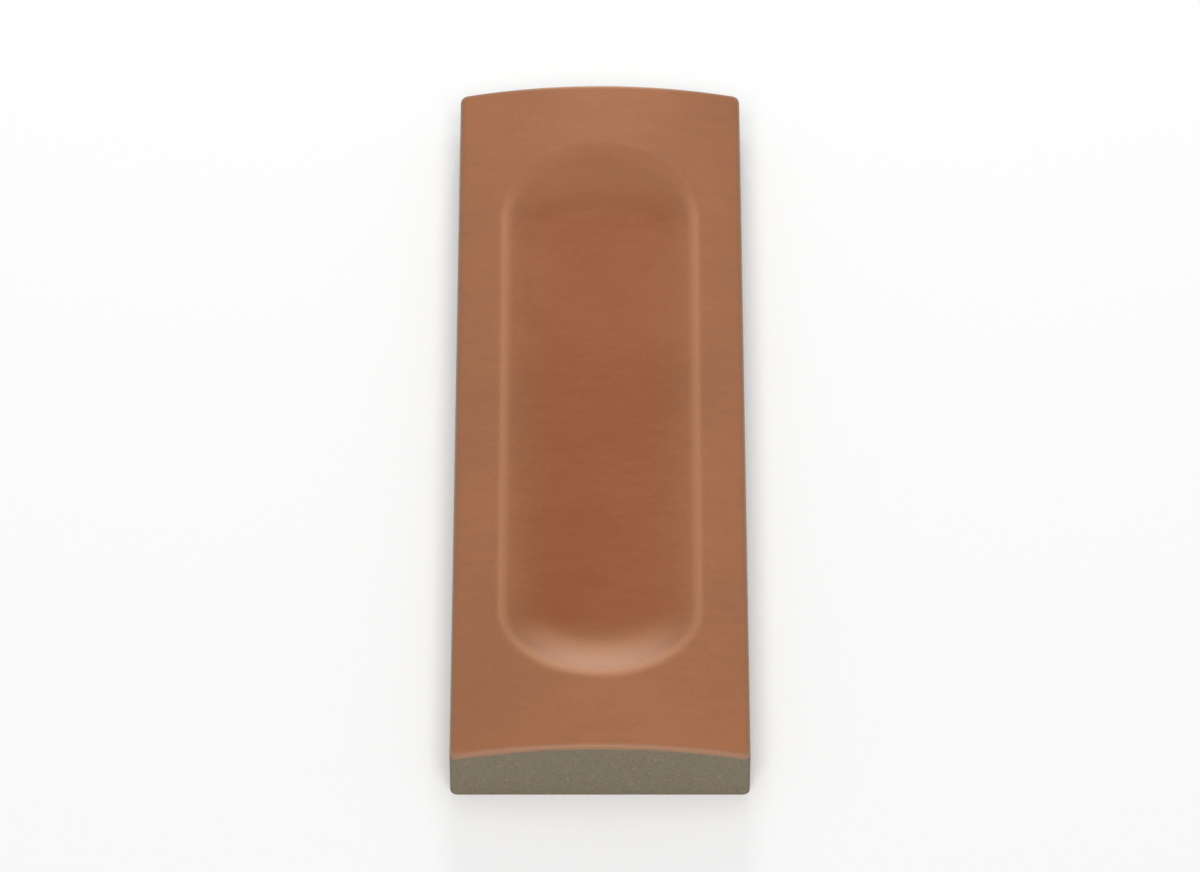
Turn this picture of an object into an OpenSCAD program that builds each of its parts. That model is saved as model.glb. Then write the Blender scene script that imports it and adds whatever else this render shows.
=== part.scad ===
// Glazed ceramic tile with an arched face and a long dished recess pressed into it.
// Length runs along Y, width along X, and the bedding side lies on Z = 0.

/* [Tile] */
// Length of the tile
tile_length = 150; // [110:1:240]
// Width of the tile
tile_width = 50; // [42:1:90]
// Thickness on the crown of the face
crown_thickness = 13; // [9:0.5:20]
// Fall of the face from the crown to the long edges
crown_fall = 3; // [1:0.1:4.5]
// Rounding of the four upright corners
corner_radius = 1.2; // [0.5:0.1:3]
// Rounding of the edge between the face and the sides
arris_radius = 0.8; // [0.3:0.1:1.5]

/* [Recess] */
// Width of the border left beside the recess
side_border = 8; // [6:0.5:12]
// Width of the border left past each end of the recess
end_border = 15; // [6:0.5:30]
// Length of the rounded part at each end of the recess
end_round = 19; // [17:0.5:24]
// Depth of the recess floor below the crown
recess_depth = 2.9; // [2.2:0.1:4]
// Width in plan of the dished wall along the sides
side_wall = 8; // [5:0.5:11]
// Width in plan of the dished wall at the ends
end_wall = 13; // [8:0.5:15]
// Radius of the soft roll along the rim
rim_radius = 4.5; // [2:0.5:7]

/* [Bedding side] */
// Depth of the keying pockets
key_depth = 0.8; // [0.4:0.1:1.5]
// Width of the plain frame around the pockets
key_frame = 5; // [3:0.5:8]
// Width of the ribs between the pockets
key_rib = 4; // [2:0.5:6]
// Smallest side of a pocket
key_size = 9; // [6:0.5:14]
// Rounding of the corners of a pocket
key_radius = 2; // [0.5:0.1:2.5]

/* [Hidden] */

half_width = tile_width / 2;
half_length = tile_length / 2;
arch_radius = (pow(half_width, 2) + pow(crown_fall, 2)) / (2 * crown_fall);
floor_height = crown_thickness - recess_depth;

// Half of the recess across at its rim and at its floor, and the same along its rounded ends
rim_across = half_width - side_border;
floor_across = rim_across - side_wall;
floor_along = end_round - end_wall;
// Half length of the spine between the rounded ends
spine_half = half_length - end_border - end_round;

// Height over which the arch and the wall melt into each other, and its reach in plan
end_slope = 2 * recess_depth / end_wall;
roll_height = rim_radius * pow(end_slope, 2) / 2;
roll_reach = roll_height / end_slope;

// Divisions of the loft along and across the rays
side_steps = 8;
corner_steps = 4;
end_steps = 6;
wall_steps = 9;
roll_steps = 6;
border_steps = 3;
arris_steps = 4;
// How far one shape runs past another that it cuts, and the step that pocket sizes keep to
overlap = 0.5;
size_step = 0.02;

// Height of the arched face at a distance from the middle line
function arch(x) = crown_thickness - arch_radius + sqrt(pow(arch_radius, 2) - x * x);

// Distance from the middle of an oval to its edge along a bearing
function oval(across, along, angle) = across * along / norm([along * cos(angle), across * sin(angle)]);
function floor_reach(angle) = oval(floor_across, floor_along, angle);
function rim_reach(angle) = oval(rim_across, end_round, angle);

// Height of the wall above the floor, which sweeps up to meet the arch at the rim
function wall_height(angle, distance) =
    let(
        start = floor_reach(angle),
        rim = rim_reach(angle),
        up = max(distance - start, 0) / (rim - start)
    )
    (arch(rim * cos(angle)) - floor_height) * up * up;

// The lower of two heights, rolled together where they are close
function rolled(a, b) =
    let(near = max(roll_height - abs(a - b), 0) / roll_height)
    min(a, b) - near * near * roll_height / 4;

// Distance of a point inside the outline of the tile
function inset(x, y) =
    let(
        dx = abs(x) - half_width + corner_radius,
        dy = abs(y) - half_length + corner_radius
    )
    corner_radius - (dx > 0 && dy > 0 ? norm([dx, dy]) : max(dx, dy));

// Drop of the rounded edge at an inset from the outline
function arris_drop(depth) =
    let(short = min(max(arris_radius - depth, 0), arris_radius))
    arris_radius - sqrt(pow(arris_radius, 2) - pow(short, 2));

// Height of the finished face at a distance along a ray
function face_height(x, y, angle, distance) =
    rolled(arch(x), floor_height + wall_height(angle, distance)) - arris_drop(inset(x, y));

// Centre of a rounded corner, and a point on it, seen from the end of the spine
corner_centre = [half_width - corner_radius, half_length - corner_radius - spine_half];
function corner_point(angle) = corner_centre + corner_radius * [cos(angle), sin(angle)];
function bearing(p) = atan2(p.y, p.x);

// Rays of one quarter: along the long side, around the corner and along the short end
corner_start = bearing(corner_point(0));
corner_end = bearing(corner_point(90));
quarter = concat(
    [for (i = [0 : side_steps]) corner_start * i / side_steps],
    [for (i = [1 : corner_steps - 1]) bearing(corner_point(90 * i / corner_steps))],
    [for (i = [0 : end_steps]) corner_end + (90 - corner_end) * i / end_steps]
);

// All rays, as [bearing, end of the spine], fanning out around both ends of the recess
half_turn = concat(quarter, [for (i = [len(quarter) - 2 : -1 : 0]) 180 - quarter[i]]);
rays = concat(
    [for (a = half_turn) [a, spine_half]],
    [for (a = half_turn) [a + 180, -spine_half]]
);

// Distance along a ray to the outline, with how squarely the ray meets it
function reach(angle) =
    let(
        c = abs(cos(angle)),
        s = abs(sin(angle)),
        along = [c, s] * corner_centre
    )
    c * corner_point(0).y >= s * half_width ? [half_width / c, c]
    : s * corner_point(90).x >= c * (half_length - spine_half) ? [(half_length - spine_half) / s, s]
    : let(
        far = along + sqrt(pow(corner_radius, 2) - corner_centre * corner_centre + along * along)
    )
    [far, (far - along) / corner_radius];

// Distances from the spine at which a ray has a point: wall, roll, border and rounded edge
function stations(angle) =
    let(
        start = floor_reach(angle),
        inner = rim_reach(angle) - roll_reach,
        outer = rim_reach(angle) + roll_reach,
        outline = reach(angle),
        far = outline[0],
        facing = outline[1],
        edge = far - arris_radius / facing
    )
    concat(
        [for (i = [0 : wall_steps - 1]) start + (inner - start) * i / wall_steps],
        [for (i = [0 : roll_steps]) inner + (outer - inner) * i / roll_steps],
        [for (i = [1 : border_steps - 1]) outer + (edge - outer) * i / border_steps],
        [for (i = [0 : arris_steps]) far - arris_radius * (1 - sin(90 * i / arris_steps)) / facing]
    );

function face_point(ray, distance) =
    let(p = [0, ray[1]] + distance * [cos(ray[0]), sin(ray[0])])
    [p.x, p.y, face_height(p.x, p.y, ray[0], distance)];

// The pressed face as a loft of rings, from the floor of the recess out past the edges
module pressed_face() {
    around = len(rays);
    lines = [for (ray = rays) [for (d = stations(ray[0])) face_point(ray, d)]];
    rings = len(lines[0]);
    foot = [for (line = lines) [line[rings - 1].x, line[rings - 1].y, 0]];
    foot_start = rings * around;
    foot_middle = foot_start + around;
    points = concat([for (r = [0 : rings - 1]) for (line = lines) line[r]], foot, [[0, 0, 0]]);
    floor_face = [[for (i = [around - 1 : -1 : 0]) i]];
    foot_faces = [for (i = [0 : around - 1]) [foot_start + i, foot_start + (i + 1) % around, foot_middle]];
    bands = [
        for (r = [0 : rings - 1])
            for (i = [0 : around - 1])
                let(
                    j = (i + 1) % around,
                    a = r * around + i,
                    b = r * around + j,
                    c = a + around,
                    d = b + around
                )
                each [[a, b, d], [a, d, c]]
    ];
    polyhedron(points, concat(floor_face, bands, foot_faces));
}

// One keying pocket, cut up from the bedding side
module key_pocket(size_x, size_y) {
    linear_extrude(key_depth + overlap) {
        square([size_x, size_y - 2 * key_radius], center = true);
        square([size_x - 2 * key_radius, size_y], center = true);
        for (x = [-1, 1])
            for (y = [-1, 1])
                translate([x * (size_x / 2 - key_radius), y * (size_y / 2 - key_radius)])
                    circle(key_radius, $fn = 32);
    }
}

// A size taken down to a whole step, so that pockets meet their rounded corners exactly
function stepped(size) = floor(size / size_step) * size_step;

// The pockets fill the bedding side between the frame and the ribs
module bedding_keys() {
    room_x = tile_width - 2 * key_frame;
    room_y = tile_length - 2 * key_frame;
    count_x = floor((room_x + key_rib) / (key_size + key_rib));
    count_y = floor((room_y + key_rib) / (key_size + key_rib));
    size_x = stepped((room_x + key_rib) / count_x - key_rib);
    size_y = stepped((room_y + key_rib) / count_y - key_rib);
    for (i = [0 : count_x - 1])
        for (j = [0 : count_y - 1])
            translate([
                (i - (count_x - 1) / 2) * (size_x + key_rib),
                (j - (count_y - 1) / 2) * (size_y + key_rib),
                -overlap
            ])
                key_pocket(size_x, size_y);
}

module tile() {
    color("#a87352")
        difference() {
            pressed_face();
            bedding_keys();
        }
}

tile();
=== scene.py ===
"""One glazed ceramic tile, lying on its bedding side on a pale studio floor.

The face is a shallow arch with a long dished recess. The glaze is a satin terracotta that is
deeper on the floor of the recess, where it pools and where shade is also painted in, has painted
shade and a painted grey reflection on the end walls of the recess, thins to a paler line along the
sides of its rim and on the rounded edges, and stops short of the grey-brown fired body on the sides
and the back.
"""
import math

import bpy
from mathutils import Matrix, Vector


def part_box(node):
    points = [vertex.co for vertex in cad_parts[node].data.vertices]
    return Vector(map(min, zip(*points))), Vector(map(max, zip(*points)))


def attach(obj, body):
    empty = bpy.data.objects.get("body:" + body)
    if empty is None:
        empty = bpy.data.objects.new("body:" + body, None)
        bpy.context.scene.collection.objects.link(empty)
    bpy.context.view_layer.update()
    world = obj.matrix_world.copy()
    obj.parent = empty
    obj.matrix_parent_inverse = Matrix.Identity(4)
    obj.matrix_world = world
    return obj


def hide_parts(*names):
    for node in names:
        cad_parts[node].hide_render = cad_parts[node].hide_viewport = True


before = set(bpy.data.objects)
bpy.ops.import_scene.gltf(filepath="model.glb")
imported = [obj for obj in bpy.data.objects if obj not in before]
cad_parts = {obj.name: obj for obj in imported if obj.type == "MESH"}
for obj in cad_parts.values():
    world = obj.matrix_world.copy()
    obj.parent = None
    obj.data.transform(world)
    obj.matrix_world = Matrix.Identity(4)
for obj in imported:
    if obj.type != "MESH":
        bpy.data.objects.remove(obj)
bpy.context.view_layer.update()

MM = 0.001

# Sizes of the tile in millimetres. The box comes from the frame, and most of the rest repeats
# the part. The ends of the recess are a little fuller and softer than the part's: the wall has
# a soft foot, and the roll along its rim has one radius at the sides and another at the ends.
low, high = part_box("tile")
TILE_WIDTH = (high[0] - low[0]) / MM
TILE_LENGTH = (high[1] - low[1]) / MM
CROWN_THICKNESS = (high[2] - low[2]) / MM
CROWN_FALL = 3.0
CORNER_RADIUS = 1.2
ARRIS_RADIUS = 0.8
SIDE_BORDER = 8.0
END_BORDER = 16.0
END_ROUND = 15.0
RECESS_DEPTH = 2.9
SIDE_WALL = 8.0
END_WALL = 11.6
FOOT_BLEND = 2.0
ROLL_AT_SIDES = 4.5
ROLL_AT_ENDS = 9.0

# The keying pockets of the bedding side, and the steps around each of their rounded corners.
KEY_DEPTH = 0.8
KEY_FRAME = 5.0
KEY_RIB = 4.0
KEY_SIZE = 9.0
KEY_RADIUS = 2.0
KEY_ROUNDING = 5

# Spacing of the mesh on the face, the rows of it around the rounded edge, and the sharpest
# angle in degrees that is still shaded smooth.
FACE_CELL = 0.45
ARRIS_ROWS = 5
SMOOTH_ANGLE = 32.0

HALF_WIDTH = TILE_WIDTH / 2
HALF_LENGTH = TILE_LENGTH / 2
ARCH_RADIUS = (HALF_WIDTH**2 + CROWN_FALL**2) / (2 * CROWN_FALL)
ARCH_CENTRE = CROWN_THICKNESS - ARCH_RADIUS
FLOOR_HEIGHT = CROWN_THICKNESS - RECESS_DEPTH
RIM_ACROSS = HALF_WIDTH - SIDE_BORDER
RIM_END = HALF_LENGTH - END_BORDER
SPINE_HALF = RIM_END - END_ROUND
FLOOR_ACROSS = RIM_ACROSS - SIDE_WALL
FLOOR_ALONG = END_ROUND - END_WALL
END_SLOPE = 2 * RECESS_DEPTH / END_WALL


def arch(x):
    """Height of the arched face at x from the middle line."""
    return ARCH_CENTRE + math.sqrt(ARCH_RADIUS**2 - x * x)


def oval(half_across, half_along, across, along):
    """Distance from the middle of an oval to its edge, in a direction."""
    return half_across * half_along / math.hypot(half_along * across, half_across * along)


def dish(x, y):
    """Height of the recess: a flat floor, and a wall that sweeps softly up from it to the rim."""
    past = max(abs(y) - SPINE_HALF, 0.0)
    reach = math.hypot(x, past)
    across, along = (abs(x) / reach, past / reach) if reach else (1.0, 0.0)
    floor_edge = oval(FLOOR_ACROSS, FLOOR_ALONG, across, along)
    rim = oval(RIM_ACROSS, END_ROUND, across, along)
    climb = arch(rim * across) - FLOOR_HEIGHT
    past_foot = reach - floor_edge
    up = (past_foot + math.hypot(past_foot, FOOT_BLEND)) / 2 / (rim - floor_edge)
    return FLOOR_HEIGHT + climb * up * up


def roll_height(x, y):
    """Height over which the arch and the wall melt together, more at the ends than at the sides."""
    past = max(abs(y) - SPINE_HALF, 0.0)
    at_end = past * past / max(x * x + past * past, 1.0)
    radius = ROLL_AT_SIDES + (ROLL_AT_ENDS - ROLL_AT_SIDES) * at_end
    return radius * END_SLOPE**2 / 2


def inset(x, y):
    """Distance of a point inside the outline with its rounded corners."""
    dx = abs(x) - HALF_WIDTH + CORNER_RADIUS
    dy = abs(y) - HALF_LENGTH + CORNER_RADIUS
    return CORNER_RADIUS - (math.hypot(dx, dy) if dx > 0 and dy > 0 else max(dx, dy))


def face_height(x, y):
    """Height of the pressed face: arch and recess rolled together, with the edge rounded off."""
    a, b, roll = arch(x), dish(x, y), roll_height(x, y)
    near = max(roll - abs(a - b), 0.0) / roll
    rolled = min(a, b) - near * near * roll / 4
    short = min(max(ARRIS_RADIUS - inset(x, y), 0.0), ARRIS_RADIUS)
    return rolled - ARRIS_RADIUS + math.sqrt(ARRIS_RADIUS**2 - short * short)


def mesh_lines(half):
    """Positions of the mesh lines across one direction: even, and close at the rounded edge."""
    edge = half - ARRIS_RADIUS
    cells = round(2 * edge / FACE_CELL)
    middle = [-edge + 2 * edge * i / cells for i in range(cells + 1)]
    turns = [math.sin(math.pi / 2 * i / ARRIS_ROWS) for i in range(1, ARRIS_ROWS + 1)]
    rounded = [edge + ARRIS_RADIUS * turn for turn in turns]
    return [-p for p in reversed(rounded)] + middle + rounded


def round_corner(x, y):
    """Draws a point of the square corner in to the rounded one."""
    dx = abs(x) - HALF_WIDTH + CORNER_RADIUS
    dy = abs(y) - HALF_LENGTH + CORNER_RADIUS
    if dx <= 0 or dy <= 0:
        return x, y
    pull = max(dx, dy) / math.hypot(dx, dy)
    return (
        math.copysign(HALF_WIDTH - CORNER_RADIUS + dx * pull, x),
        math.copysign(HALF_LENGTH - CORNER_RADIUS + dy * pull, y),
    )


def deselect():
    bpy.ops.object.select_all(action="DESELECT")


def pick(piece):
    """Selects one object alone and makes it the active one."""
    deselect()
    piece.select_set(True)
    bpy.context.view_layer.objects.active = piece


def named(name):
    """Gives the object just added its name."""
    piece = bpy.context.active_object
    piece.name = piece.data.name = name
    return piece


def edit_edges():
    bpy.ops.object.mode_set(mode="EDIT")
    bpy.ops.mesh.select_mode(type="EDGE")


def leave_edit():
    bpy.ops.object.mode_set(mode="OBJECT")


def pressed_blank():
    """The tile before its back is keyed: a pressed face drawn down to a flat bed."""
    lines_x = mesh_lines(HALF_WIDTH)
    lines_y = mesh_lines(HALF_LENGTH)
    deselect()
    bpy.ops.mesh.primitive_grid_add(
        x_subdivisions=len(lines_x) - 1, y_subdivisions=len(lines_y) - 1, size=2
    )
    blank = named("glazed_tile")
    for vertex in blank.data.vertices:
        column = round((vertex.co.x + 1) / 2 * (len(lines_x) - 1))
        row = round((vertex.co.y + 1) / 2 * (len(lines_y) - 1))
        x, y = round_corner(lines_x[column], lines_y[row])
        vertex.co = (x * MM, y * MM, face_height(x, y) * MM)
    edit_edges()
    bpy.ops.mesh.select_all(action="DESELECT")
    bpy.ops.mesh.select_non_manifold(extend=False)
    bpy.ops.mesh.extrude_region_move(TRANSFORM_OT_translate={"value": (0, 0, -CROWN_THICKNESS * MM)})
    bpy.ops.transform.resize(value=(1, 1, 0), center_override=(0, 0, 0))
    bpy.ops.mesh.edge_face_add()
    bpy.ops.mesh.select_all(action="SELECT")
    bpy.ops.mesh.normals_make_consistent(inside=False)
    leave_edit()
    return blank


def key_pocket(size_x, size_y):
    """One pocket of the bedding side, as the solid that presses it in."""
    deselect()
    bpy.ops.mesh.primitive_cube_add(size=1)
    pocket = named("key_pocket")
    edit_edges()
    bpy.ops.transform.resize(value=(size_x * MM, size_y * MM, 2 * KEY_DEPTH * MM))
    bpy.ops.mesh.select_all(action="DESELECT")
    leave_edit()
    for edge in pocket.data.edges:
        ends = [pocket.data.vertices[i].co for i in edge.vertices]
        edge.select = abs(ends[0].z - ends[1].z) > KEY_DEPTH * MM
    edit_edges()
    bpy.ops.mesh.bevel(offset=KEY_RADIUS * MM, segments=KEY_ROUNDING, affect="EDGES")
    leave_edit()
    return pocket


def pocket_row(room):
    """Number and size of the pockets that fill a room between the frames."""
    count = math.floor((room + KEY_RIB) / (KEY_SIZE + KEY_RIB))
    return count, (room + KEY_RIB) / count - KEY_RIB


def key_press():
    """All the pockets of the bedding side, joined into one press."""
    count_x, size_x = pocket_row(TILE_WIDTH - 2 * KEY_FRAME)
    count_y, size_y = pocket_row(TILE_LENGTH - 2 * KEY_FRAME)
    first = key_pocket(size_x, size_y)
    pockets = []
    for i in range(count_x):
        for j in range(count_y):
            pocket = first.copy()
            pocket.data = first.data.copy()
            pocket.location = (
                (i - (count_x - 1) / 2) * (size_x + KEY_RIB) * MM,
                (j - (count_y - 1) / 2) * (size_y + KEY_RIB) * MM,
                0,
            )
            bpy.context.collection.objects.link(pocket)
            pockets.append(pocket)
    bpy.data.objects.remove(first)
    pick(pockets[0])
    for pocket in pockets:
        pocket.select_set(True)
    bpy.ops.object.join()
    bpy.ops.object.transform_apply(location=True, rotation=False, scale=False)
    return bpy.context.active_object


def key_back(tile):
    """Presses the keying pockets into the bedding side."""
    press = key_press()
    pick(tile)
    cut = tile.modifiers.new("keys", "BOOLEAN")
    cut.operation = "DIFFERENCE"
    cut.solver = "EXACT"
    cut.object = press
    bpy.ops.object.modifier_apply(modifier=cut.name)
    bpy.data.objects.remove(press)


class Shade:
    """A shader socket that takes Python's operators. Every expression adds its nodes to the tree."""

    def __init__(self, tree, socket=None):
        self.tree = tree
        self.socket = socket

    def node(self, kind, settings, inputs, output=0):
        """Any node: its settings first, then the values or links of its sockets."""
        made = self.tree.nodes.new(kind)
        for name, value in settings.items():
            setattr(made, name, value)
        for key, value in inputs.items():
            if isinstance(value, Shade):
                self.tree.links.new(value.socket, made.inputs[key])
            else:
                made.inputs[key].default_value = value
        return Shade(self.tree, made.outputs[output] if made.outputs else None)

    def math(self, operation, *values):
        return self.node("ShaderNodeMath", {"operation": operation}, dict(enumerate(values)))

    def __add__(self, other):
        return self.math("ADD", self, other)

    def __sub__(self, other):
        return self.math("SUBTRACT", self, other)

    def __rsub__(self, other):
        return self.math("SUBTRACT", other, self)

    def __mul__(self, other):
        return self.math("MULTIPLY", self, other)

    def __truediv__(self, other):
        return self.math("DIVIDE", self, other)

    def __pow__(self, other):
        return self.math("POWER", self, other)

    def __abs__(self):
        return self.math("ABSOLUTE", self)

    __radd__ = __add__
    __rmul__ = __mul__

    def least(self, other):
        return self.math("MINIMUM", self, other)

    def most(self, other):
        return self.math("MAXIMUM", self, other)

    def fade(self, start, end):
        """0 at start and before, 1 at end and past it, smooth between."""
        ends = {"From Min": min(start, end), "From Max": max(start, end), "Value": self}
        if start > end:
            ends.update({"To Min": 1.0, "To Max": 0.0})
        return self.node("ShaderNodeMapRange", {"interpolation_type": "SMOOTHSTEP"}, ends)

    def tint(self, below, above):
        """A colour that goes from below to above as this value goes from 0 to 1."""
        mix = {"data_type": "RGBA", "clamp_factor": True}
        return self.node("ShaderNodeMix", mix, {"Factor": self, 6: below, 7: above}, output=2)

    def part(self, axis):
        """One coordinate of this position, in millimetres."""
        return self.node("ShaderNodeSeparateXYZ", {}, {"Vector": self}, output=axis) / MM

    def noise(self, scale, detail=2.0, roughness=0.5):
        """Noise on this position, about 0.5, in features 1 / scale metres wide."""
        sockets = {"Vector": self, "Scale": scale, "Detail": detail, "Roughness": roughness}
        return self.node("ShaderNodeTexNoise", {}, sockets)

    def stretched(self, *scale):
        """This position, scaled along each axis."""
        return self.node("ShaderNodeMapping", {}, {"Vector": self, "Scale": scale})


def srgb(red, green, blue):
    """A colour given as it looks, 0 to 255, as the linear colour that a shader takes."""
    def linear(value):
        value /= 255
        return value / 12.92 if value <= 0.04045 else ((value + 0.055) / 1.055) ** 2.4
    return (linear(red), linear(green), linear(blue), 1.0)


# Colours of the glaze: two that mingle all over, then the floor of the recess, where the glaze
# pools and shade is also painted in, the sides of its rim, its end walls with painted shade and a
# painted grey reflection, the rounded edges at the ends and those along the sides. The last is the
# tint of its sheen.
GLAZE = srgb(158, 106, 78)
GLAZE_WARM = srgb(167, 112, 81)
# Darker on the recess floor: glaze that pools there, and partly painted shade where the floor takes
# less sheen.
GLAZE_POOLED_AND_SHADED = srgb(141, 82, 50)
GLAZE_THIN = srgb(190, 136, 101)
# Painted shade and a painted grey reflection on the end walls of the recess.
GLAZE_WALL_SHADE = srgb(147, 101, 78)
GLAZE_EDGE = srgb(160, 129, 109)
GLAZE_SIDE = srgb(150, 112, 86)
SHEEN = (1.0, 0.38, 0.04, 1.0)

# How much of a colour is mixed in at its place. The pooled glaze, with its painted shade, is also
# mottled by the tone.
POOLED_AND_SHADE_SHARE = 0.9
POOLED_AND_SHADE_MOTTLE = 0.25
THIN_SHARE = 0.47
WALL_SHADE_SHARE = 0.4
EDGE_SHARE = 0.75

# Colours of the fired body and of the grains in it, with the share of each grain.
BODY = srgb(127, 120, 105)
BODY_DARK = srgb(106, 98, 84)
BODY_PALE = srgb(157, 149, 133)
DARK_SHARE = 0.6
PALE_SHARE = 0.5

# Where a finish starts and where it is full, in millimetres in from the outline.
OFF_EDGE = (1.0, 2.0)
THIN_EDGE = (1.05, 0.45)
BARE_EDGE = (0.25, 0.1)
AT_END = (2.0, 0.8)

# The same, in millimetres down from the arch.
RIM_TOP = (0.0, 0.14)
RIM_FOOT = (0.95, 0.2)
WALL_SHADE_DROP = (0.0, 0.9)
POOLED_AND_SHADE_DROP = (0.2, RECESS_DEPTH)
BARE_DROP = (0.5, 0.78)

# The same, in millimetres from the middle of the length.
RIM_SPAN = (RIM_END - 6, RIM_END - 15)
WALL_SHADE_SPAN = (SPINE_HALF - 3, SPINE_HALF + 8)
POOLED_AND_SHADE_SPAN = (RIM_END - 3, RIM_END - 15)

# The same, in millimetres up from the bed.
BARE_HEIGHT = (CROWN_THICKNESS / 2, CROWN_THICKNESS / 2 - 2)

# How far the limits of the thin and of the bare edge waver, in millimetres.
THIN_WAVER = 0.3
BARE_WAVER = 0.35

# Noises, each with its features in a metre, its detail and how rough that is.
WAVER = (260.0, 3.0)
CLOUDS = (38.0, 4.0, 0.55)
STREAKS = (420.0, 3.0)
FLECKS = (1100.0, 2.0)
DARK_GRAINS = (2300.0, 2.0, 0.7)
PALE_GRAINS = (1700.0, 2.0, 0.7)
PEEL = (420.0, 2.0)
FINE_PEEL = (1300.0, 2.0)
GRAIN = (2000.0, 3.0, 0.65)

# Scale of the streaks along each axis, which draws them out across the tile.
STREAK_STRETCH = (0.35, 1.6, 1.0)

# Share of each noise in the tone, and of the fine one in the peel.
CLOUD_SHARE = 0.55
STREAK_SHARE = 0.22
FLECK_SHARE = 0.23
FINE_SHARE = 0.3

# Values of a noise between which the tone or the grains come in.
TONE_RANGE = (0.36, 0.64)
DARK_RANGE = (0.54, 0.68)
PALE_RANGE = (0.58, 0.72)

# Roughness of the glaze, how far the clouds vary it, the roughness of the body, and refraction.
SATIN = 0.345
SATIN_VARIES = 0.05
BARE_ROUGHNESS = 0.85
REFRACTION = 1.5

# Heights of the relief, in metres.
PEEL_HEIGHT = 0.000012
GRAIN_HEIGHT = 0.00007


def shaded_inset(x, y):
    """Distance of a shaded point inside the outline with its rounded corners."""
    past_x = abs(x) - (HALF_WIDTH - CORNER_RADIUS)
    past_y = abs(y) - (HALF_LENGTH - CORNER_RADIUS)
    round_corners = (past_x.most(0) ** 2 + past_y.most(0) ** 2) ** 0.5
    return CORNER_RADIUS - round_corners - past_x.most(past_y).least(0)


def glaze_tone(place, clouds):
    """How warm the glaze is, from 0 to 1: clouded, faintly streaked and flecked."""
    streaks = place.stretched(*STREAK_STRETCH).noise(*STREAKS)
    flecks = place.noise(*FLECKS)
    return (clouds * CLOUD_SHARE + streaks * STREAK_SHARE + flecks * FLECK_SHARE).fade(*TONE_RANGE)


def glaze_colour(tone, along, edge, drop, waver):
    """Terracotta, deeper on the floor of the recess where it pools and shade is painted in, with
    painted shade and a painted grey reflection on the end walls, and paler on its rim and the
    rounded edges.
    """
    off_edge = edge.fade(*OFF_EDGE)
    # Painted shade and a painted grey reflection on the end walls of the recess.
    painted_wall_shade = off_edge * drop.fade(*WALL_SHADE_DROP) * along.fade(*WALL_SHADE_SPAN)
    # Pooled glaze on the recess floor, partly painted shade standing in for the sheen the floor
    # lacks.
    pooled_and_shade = off_edge * drop.fade(*POOLED_AND_SHADE_DROP) * along.fade(*POOLED_AND_SHADE_SPAN)
    rim = off_edge * drop.fade(*RIM_TOP) * drop.fade(*RIM_FOOT) * along.fade(*RIM_SPAN)
    thin_edge = (edge + waver * THIN_WAVER).fade(*THIN_EDGE)
    edge_colour = (HALF_LENGTH - along).fade(*AT_END).tint(GLAZE_SIDE, GLAZE_EDGE)

    colour = tone.tint(GLAZE, GLAZE_WARM)
    colour = (painted_wall_shade * WALL_SHADE_SHARE).tint(colour, GLAZE_WALL_SHADE)
    colour = (pooled_and_shade * (POOLED_AND_SHADE_SHARE - tone * POOLED_AND_SHADE_MOTTLE)).tint(colour, GLAZE_POOLED_AND_SHADED)
    colour = (rim * THIN_SHARE).tint(colour, GLAZE_THIN)
    return (thin_edge * EDGE_SHARE).tint(colour, edge_colour)


def body_colour(place):
    """Grey-brown, speckled with darker and paler grains."""
    dark_grains = place.noise(*DARK_GRAINS).fade(*DARK_RANGE)
    pale_grains = place.noise(*PALE_GRAINS).fade(*PALE_RANGE)
    colour = (dark_grains * DARK_SHARE).tint(BODY, BODY_DARK)
    return (pale_grains * PALE_SHARE).tint(colour, BODY_PALE)


def relief(place, bare):
    """Height of the surface in metres: a faint orange peel on the glaze, and grain on the body."""
    peel = place.noise(*PEEL) * (1 - FINE_SHARE) + place.noise(*FINE_PEEL) * FINE_SHARE
    grain = place.noise(*GRAIN)
    return peel * (1 - bare) * PEEL_HEIGHT + grain * bare * GRAIN_HEIGHT


def glazed_ceramic():
    """Satin glaze over a fired body, laid out by the place on the tile."""
    material = bpy.data.materials.new("satin_glaze_on_fired_body")
    material.use_nodes = True
    material.node_tree.nodes.clear()
    shade = Shade(material.node_tree)
    place = shade.node("ShaderNodeTexCoord", {}, {}, output="Object")
    x, y, z = place.part("X"), place.part("Y"), place.part("Z")

    edge = shaded_inset(x, y)
    drop = ARCH_CENTRE + (ARCH_RADIUS**2 - x * x) ** 0.5 - z
    waver = place.noise(*WAVER) - 0.5
    below_glaze = edge.fade(*BARE_EDGE) * (drop + waver * BARE_WAVER).fade(*BARE_DROP)
    bare = below_glaze.most(z.fade(*BARE_HEIGHT))

    clouds = place.noise(*CLOUDS)
    glaze = glaze_colour(glaze_tone(place, clouds), abs(y), edge, drop, waver)
    satin = SATIN + (clouds - 0.5) * SATIN_VARIES
    bump = {"Strength": 1.0, "Distance": 1.0, "Height": relief(place, bare)}
    finish = {
        "Base Color": bare.tint(glaze, body_colour(place)),
        "Roughness": satin * (1 - bare) + bare * BARE_ROUGHNESS,
        "Normal": shade.node("ShaderNodeBump", {}, bump),
        "IOR": REFRACTION,
        "Specular Tint": SHEEN,
    }
    surface = shade.node("ShaderNodeBsdfPrincipled", {}, finish)
    shade.node("ShaderNodeOutputMaterial", {}, {"Surface": surface})
    return material


def finished_tile():
    """The whole tile: pressed, keyed, smoothed and glazed."""
    tile = pressed_blank()
    key_back(tile)
    pick(tile)
    bpy.ops.object.shade_smooth_by_angle(angle=math.radians(SMOOTH_ANGLE))
    tile.data.materials.clear()
    tile.data.materials.append(glazed_ceramic())
    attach(tile, "root")
    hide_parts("tile")


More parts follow.
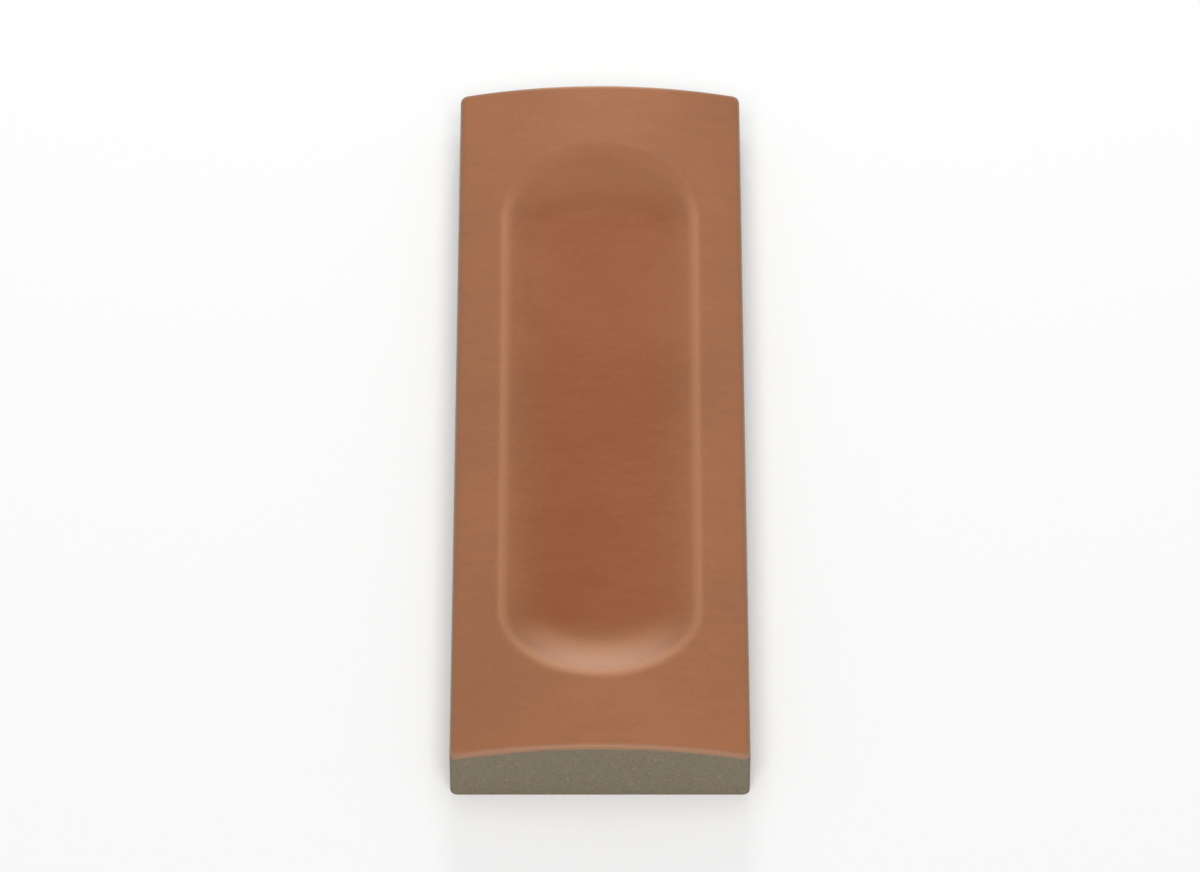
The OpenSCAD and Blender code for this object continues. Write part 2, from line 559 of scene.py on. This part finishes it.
# The studio, in metres.
FLOOR_SIZE = 8.0
FLOOR_COLOUR = (1.0, 1.0, 1.0, 1.0)
FLOOR_ROUGHNESS = 0.9
FILL_COLOUR = (1.0, 1.0, 1.0, 1.0)
FILL_STRENGTH = 0.286
PANEL_BACK = {"at": (0.0, 0.65, 0.26), "size": (0.19, 0.43), "watts": 1.54}
PANEL_FRONT = {"at": (0.0, -2.5, 3.6), "size": (3.2, 2.4), "watts": 115.0}
PANEL_TOP = {"at": (0.0, 0.3, 1.6), "size": (1.4, 1.0), "watts": 4.3}


def floor():
    """A plain matt floor."""
    deselect()
    bpy.ops.mesh.primitive_plane_add(size=FLOOR_SIZE)
    sheet = named("studio_floor")
    material = bpy.data.materials.new("pale_floor")
    material.use_nodes = True
    matt = material.node_tree.nodes["Principled BSDF"]
    matt.inputs["Base Color"].default_value = FLOOR_COLOUR
    matt.inputs["Roughness"].default_value = FLOOR_ROUGHNESS
    matt.inputs["Specular IOR Level"].default_value = 0.0
    sheet.data.materials.append(material)


def fill_light():
    """A weak even light that fills the shadows."""
    sky = bpy.data.worlds.new("studio")
    bpy.context.scene.world = sky
    sky.use_nodes = True
    fill = sky.node_tree.nodes["Background"]
    fill.inputs["Color"].default_value = FILL_COLOUR
    fill.inputs["Strength"].default_value = FILL_STRENGTH


def aim(holder, target):
    """Turns a lamp or camera to look at a point."""
    way = Vector(target) - Vector(holder.location)
    holder.rotation_euler = way.to_track_quat("-Z", "Y").to_euler()


def panel(name, at, size, watts):
    """A soft light panel that faces the tile."""
    light = bpy.data.lights.new(name, "AREA")
    light.shape = "RECTANGLE"
    light.size, light.size_y = size
    light.energy = watts
    holder = bpy.data.objects.new(name, light)
    holder.location = at
    aim(holder, (0, 0, 0))
    holder.visible_camera = False
    bpy.context.collection.objects.link(holder)


# The camera has the photograph's distance and viewing angle, and a lens long enough that the
# tile fills the picture. Lens and sensor are in millimetres.
CAMERA_AT = (0.0, -0.7835, 0.9308)
CAMERA_TARGET = (0.0, 0.0, 0.004)
LENS = 210.0
SENSOR_WIDTH = 36.0


def camera():
    eye = bpy.data.cameras.new("camera")
    eye.lens = LENS
    eye.sensor_width = SENSOR_WIDTH
    eye.sensor_fit = "HORIZONTAL"
    holder = bpy.data.objects.new("camera", eye)
    holder.location = CAMERA_AT
    aim(holder, CAMERA_TARGET)
    bpy.context.collection.objects.link(holder)
    bpy.context.scene.camera = holder


camera()
finished_tile()
floor()
fill_light()
panel("back_panel", **PANEL_BACK)
panel("front_panel", **PANEL_FRONT)
panel("top_panel", **PANEL_TOP)
bpy.context.scene.view_settings.view_transform = "Standard"
